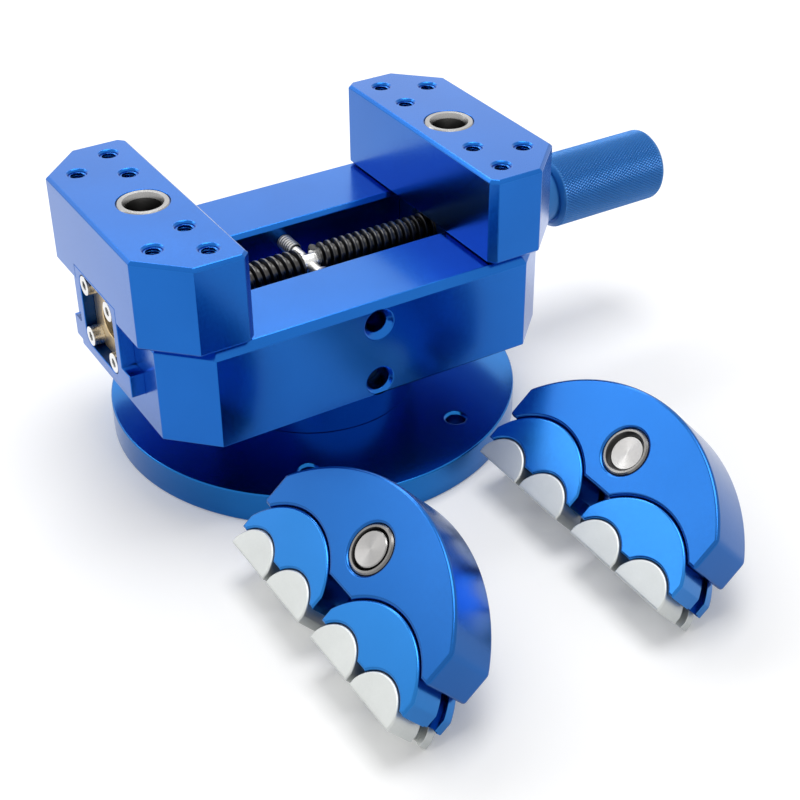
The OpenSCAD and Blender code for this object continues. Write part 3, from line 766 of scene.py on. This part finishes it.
# %% [markdown]
# ## How a thread climbs
# A screw thread is a profile that climbs as it goes round. The Screw modifier can wind one too, but it
# leaves ragged ends. So the mesh is built in columns along the rod, and each column is shifted by its
# share of the pitch, which makes every flank a clean helix. A column that would run past an end stops
# there, at the height that the thread has at that point. A profile is a list of shares of a turn, each
# with a height from 0 at the root to 1 at the crest.

# %% Thread columns


def thread_height(profile, phase):
    """How high the profile stands at a phase of its turn, from 0 at the root to 1 at the crest."""
    phase = phase % 1
    for (a, low), (b, high) in zip(profile, profile[1:] + ((1, profile[0][1]),)):
        if a <= phase <= b:
            return low + (high - low) * (phase - a) / (b - a)


def thread_columns(shape, start, end, pitch, outer, inner, profile, hand, steps):
    """The columns of corners along a threaded rod, each a list from its start to its end."""
    columns = []
    for i in range(steps):
        angle = tau * i / steps
        lead = hand * pitch * i / steps
        column = []
        for turn in range(floor(start / pitch) - 2, ceil(end / pitch) + 2):
            for share, rise in profile:
                height = turn * pitch + share * pitch + lead
                if not start < height < end:
                    height = min(max(height, start), end)
                    rise = thread_height(profile, (height - lead) / pitch)
                radius = (inner + (outer - inner) * rise) * MM
                column.append(shape.verts.new((radius * cos(angle), radius * sin(angle), height * MM)))
        columns.append(column)
    return columns


def wind(shape, columns, shift):
    """Faces from each column to the next. The last column meets the first one turn further on."""
    last = len(columns[0]) - 1
    for i, column in enumerate(columns):
        beside = columns[(i + 1) % len(columns)]
        turn = shift if beside is columns[0] else 0
        for m in range(last):
            low, high = (min(max(m + step + turn, 0), last) for step in (0, 1))
            corners = dict.fromkeys((column[m], beside[low], beside[high], column[m + 1]))
            shape.faces.new(list(corners))
    return [column[0] for column in columns], [column[last] for column in columns]


print("thread columns ready")

# %% [markdown]
# ## Cutting a threaded rod
# A rod is a wound thread with its two ends closed. Where a key drives it, a hexagon socket is sunk into
# one end. A boolean cut would leave slivers on so fine a mesh. So the socket is built from two rings with
# as many corners as the thread has columns, and the rings join it without a seam.

# %% Thread cutter
STITCH = 0.0005 * MM
THREAD_STEPS = 48


def cut_socket(shape, rim, end, flats, depth):
    """A hexagon socket sunk into a rod's end. Gives back the ring at its bottom."""
    mouth, bottom = [], []
    for i in range(len(rim)):
        angle = tau * i / len(rim)
        radius = flats / 2 / cos((angle + pi / 6) % (pi / 3) - pi / 6) * MM
        for ring, height in ((mouth, end), (bottom, end - depth)):
            ring.append(shape.verts.new((radius * cos(angle), radius * sin(angle), height * MM)))
    ring_strip(shape, rim, mouth)
    ring_strip(shape, mouth, bottom)
    return bottom


def cut_thread(name, place, start, end, pitch, outer, inner, profile, hand=1, key=None):
    """A threaded rod along Z, with a hexagon socket at its end where a key size and depth are given."""
    shape = bmesh.new()
    columns = thread_columns(shape, start, end, pitch, outer, inner, profile, hand, THREAD_STEPS)
    foot, head = wind(shape, columns, hand * len(profile))
    depth = 0
    if key:
        head = cut_socket(shape, head, end, *key)
        depth = key[1]
    ring_strip(shape, foot, [shape.verts.new((0, 0, start * MM))])
    ring_strip(shape, head, [shape.verts.new((0, 0, (end - depth) * MM))])
    bmesh.ops.remove_doubles(shape, verts=shape.verts, dist=STITCH)
    return new_piece(name, shape, place)


print("thread cutter ready")

# %% [markdown]
# ## The lead screw
# One black rod carries a left-hand thread on the handle's side and a right-hand thread on the other, so
# one turn moves the jaws towards each other. A bump texture could hint at the thread, but its crests make
# the outline of the rod, so it is cut. The profile is the flat-topped one of a vise screw, with its
# crests slightly rounded so that they catch the light.

# %% Lead screw
SCREW_PITCH = 3.0
SCREW_ROOT_GAP = 0.2
SCREW_NECK = 3.0
JOURNAL_START = 90.0
TRAPEZOID = ((0, 0.8), (0.07, 0.96), (0.2, 1), (0.33, 0.96), (0.4, 0.8), (0.52, 0), (0.88, 0))

screw_place = axis_place(joint_of["screw_turn"]["pos_m"], joint_of["screw_turn"]["axis"])
crest, screw_start, screw_end = measure("lead_screw", screw_place)[1:]
root = crest - SCREW_PITCH / 2 - SCREW_ROOT_GAP
halves = {"right_hand": (screw_start, -SCREW_NECK, 1), "left_hand": (SCREW_NECK, JOURNAL_START, -1)}
for name, (start, end, hand) in halves.items():
    thread = cut_thread("lead_screw_" + name, screw_place, start, end, SCREW_PITCH, crest, root,
                        TRAPEZOID, hand)
    fit(thread, "lead_screw")
    print(thread.name, len(thread.data.vertices), "corners")

# %% [markdown]
# ## The screw's neck and journal
# Between the two threads is a bright plain neck with a groove that the stop screws hold. At the other end
# a plain journal reaches into the handle. Both could be turned in one with the threads. As pieces of
# their own they can have another finish, and they simply ride on the same body.

# %% Neck and journal
NECK_R = 4.0
GROOVE = 2.1
GROOVE_R = 3.0
JOURNAL_R = 4.0
JOURNAL_CHAMFER = 0.5
SCREW_STEPS = 48

journal = [(0, JOURNAL_START), (JOURNAL_R, JOURNAL_START), (JOURNAL_R, screw_end - JOURNAL_CHAMFER),
           (JOURNAL_R - JOURNAL_CHAMFER, screw_end), (0, screw_end)]
fit(lathe("lead_screw_journal", journal, screw_place, steps=SCREW_STEPS), "lead_screw")
neck = [(0, -SCREW_NECK), (NECK_R, -SCREW_NECK), (NECK_R, -GROOVE), (GROOVE_R, -GROOVE),
        (GROOVE_R, GROOVE), (NECK_R, GROOVE), (NECK_R, SCREW_NECK), (0, SCREW_NECK)]
fit(lathe("lead_screw_neck", neck, screw_place, steps=SCREW_STEPS), "lead_screw", bright_screws)
print("neck", 2 * NECK_R, "journal", 2 * JOURNAL_R, "across")

# %% [markdown]
# ## The stop screws
# Two short screws with a plain dog point reach the neck from the front and the back, and keep the lead
# screw from sliding. Their threads show in the channel, so they are cut too, and each has a socket for a
# hexagon key. Bare ridges this small melt into one grey, so the shade in the grooves is painted: each flank
# has a point half way up, and the faces below it are black.

# %% Stop screws
STOP_PITCH = 1.4
STOP_DEPTH = 0.61
STOP_PROFILE = ((0, 1), (0.125, 1), (0.28125, 0.5), (0.4375, 0), (0.6875, 0), (0.84375, 0.5))
STOP_SHADE = 0.45
STOP_KEY = (3.0, 3.0)
STOP_THREAD_START = 9.55
DOG_R = 2.0
DOG_CHAMFER = 0.3

for side, way in (("front", -1), ("back", 1)):
    node = side + "_stop_screw"
    place = axis_place(joint_of["screw_turn"]["pos_m"], (0, way, 0))
    crest, start, end = measure(node, place)[1:]
    root = crest - STOP_DEPTH * STOP_PITCH
    thread = cut_thread(node + "_thread", place, STOP_THREAD_START, end, STOP_PITCH, crest, root,
                        STOP_PROFILE, key=STOP_KEY)
    fit(thread, node, stop_steel)
    # Painted shade: the faces below the middle of the flanks are black, so the grooves read dark.
    paint_shade_inside(thread, root + STOP_SHADE * (crest - root))
    dog = [(0, start), (DOG_R - DOG_CHAMFER, start), (DOG_R, start + DOG_CHAMFER),
           (DOG_R, STOP_THREAD_START), (0, STOP_THREAD_START)]
    fit(lathe(node + "_dog", dog, place, steps=SCREW_STEPS), node, stop_steel)
    print(node, "from", round(start, 2), "to", round(end, 2))

# %% [markdown]
# ## Tapped holes
# Six holes in each jaw's top take screws for clamps and stops. They could be cut out of the jaw as
# threads, but a boolean on so many fine faces is slow and fragile. A tapped hole is a screw thread seen
# from inside, so the same columns make a sleeve that lines the plain hole. A plain wall behind them
# closes the sleeve and hides in the jaw. The record lists the holes in pairs, so each pair gives two
# places.

# %% Tapped holes
TAP_PITCH = 1.0
TAP_DEPTH = 0.54
TAP_LENGTH = 11.0
TAP_STEPS = 24
TAP_SINK = 0.2
TAP_ROOT_GAP = 0.05
TAP_WALL = 0.02
METRIC = ((0, 1), (0.125, 1), (0.4375, 0), (0.6875, 0))


def tap_hole(name, place, end, hole):
    """A sleeve that lines a hole: a thread on the inside and a plain wall on the outside."""
    shape = bmesh.new()
    start = end - TAP_LENGTH
    root = hole - TAP_ROOT_GAP
    crest = hole - TAP_DEPTH * TAP_PITCH
    columns = thread_columns(shape, start, end, TAP_PITCH, root, crest, METRIC, 1, TAP_STEPS)
    foot, head = wind(shape, columns, len(METRIC))
    wall = (hole + TAP_WALL) * MM
    around = [(wall * cos(tau * i / TAP_STEPS), wall * sin(tau * i / TAP_STEPS)) for i in range(TAP_STEPS)]
    low, high = ([shape.verts.new((x, y, z * MM)) for x, y in around] for z in (start, end))
    ring_strip(shape, foot, low)
    ring_strip(shape, low, high)
    ring_strip(shape, high, head)
    bmesh.ops.remove_doubles(shape, verts=shape.verts, dist=STITCH)
    return new_piece(name, shape, place)


for pair in record["mounts"]:
    if pair["name"].endswith("_holes"):
        jaw = pair["name"].split("_")[0] + "_jaw"
        x, y, z = pair["pos_m"]
        for name, way in (("_near", -1), ("_far", 1)):
            place = axis_place((x, y + way * pair["dims"]["spacing_y_mm"] / 2 * MM, 0), (0, 0, 1))
            sleeve = tap_hole(pair["name"] + name, place, z / MM - TAP_SINK, pair["dims"]["hole_r_mm"])
            fit(sleeve, jaw)
        print(pair["name"], "tapped")

# %% [markdown]
# ## The knurl
# A knurl is pressed into a grip by two toothed wheels. Two families of grooves cross and leave rows of
# small pyramids. A bump texture would look flat at the grip's outline, so the pyramids are real. On a
# grid wound round the grip every second corner is a peak. Each square is split from valley to valley, so
# the splits line up into the grooves.

# %% Knurling tool
KNURL_DEPTH = 0.45
KNURL_AROUND = 150
KNURL_STEP = 0.9
KNURL_WALL = 0.4


def knurl(name, place, radius, start, end):
    """A sleeve with a diamond knurl on the outside and a plain bore inside."""
    shape = bmesh.new()
    count = 2 * round((end - start) / KNURL_STEP / 2)
    valley, bore = radius - KNURL_DEPTH, radius - KNURL_DEPTH - KNURL_WALL
    angles = [tau * i / KNURL_AROUND for i in range(KNURL_AROUND)]

    def ring(height, sizes):
        points = [(r * cos(a) * MM, r * sin(a) * MM, height * MM) for a, r in zip(angles, sizes)]
        return [shape.verts.new(point) for point in points]

    rows = []
    for j in range(count + 1):
        plain = j in (0, count)
        sizes = [valley if plain or (i + j) % 2 else radius for i in range(KNURL_AROUND)]
        rows.append(ring(start + (end - start) * j / count, sizes))
    for j, (low, high) in enumerate(zip(rows, rows[1:])):
        for i in range(KNURL_AROUND):
            k = (i + 1) % KNURL_AROUND
            if (i + j) % 2:
                shape.faces.new((low[i], low[k], high[k]))
                shape.faces.new((low[i], high[k], high[i]))
            else:
                shape.faces.new((low[i], low[k], high[i]))
                shape.faces.new((low[k], high[k], high[i]))
    inside = [ring(height, [bore] * KNURL_AROUND) for height in (start, end)]
    ring_strip(shape, rows[0], inside[0])
    ring_strip(shape, inside[0], inside[1])
    ring_strip(shape, inside[1], rows[-1])
    return new_piece(name, shape, place)


print("knurling tool ready")

# %% [markdown]
# ## The handle
# The handle is a turned bar with a thin neck and a thick grip. Its plain part is the deburred blank. The
# grip of the blank is turned down by the knurl's depth, so that the knurl's peaks reach the size that the
# blank had. The knurl could be merged into it, but as a sleeve on top both stay clean, closed meshes. It
# is shaded flat, because its small pyramids have real edges.

# %% Knurled grip
HANDLE_EDGE = 0.25
GRIP_START = 103.0
GRIP_CHAMFER = 1.5
GRIP_ROOM = 1.0

grip_radius, _, grip_end = measure("handle", screw_place)[1:]
handle = deburr("handle", HANDLE_EDGE, blue_knurled)
for corner in handle.data.vertices:
    arm = Vector((0, corner.co.y, corner.co.z)) - Vector((0, 0, screw_place.translation.z))
    if arm.length > (grip_radius - GRIP_CHAMFER - GRIP_ROOM) * MM:
        corner.co -= arm.normalized() * KNURL_DEPTH * MM
sleeve = knurl("handle_knurl", screw_place, grip_radius, GRIP_START + GRIP_CHAMFER, grip_end - GRIP_CHAMFER)
fit(sleeve, "handle", blue_knurled)
sleeve.data.shade_flat()
print("knurl", len(sleeve.data.polygons), "faces")

# %% [markdown]
# ## Nothing left raw
# Every blank should now have a finished piece in its place. One that was forgotten would show as bare
# CAD, which is hard to spot inside the vise, so the list of such blanks is printed. It should be empty.

# %% Blanks without a piece
replaced = {node for piece in scene.objects for node in piece.get("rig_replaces", [])}
print("blanks without a piece:", [node for node in blanks if node not in replaced])
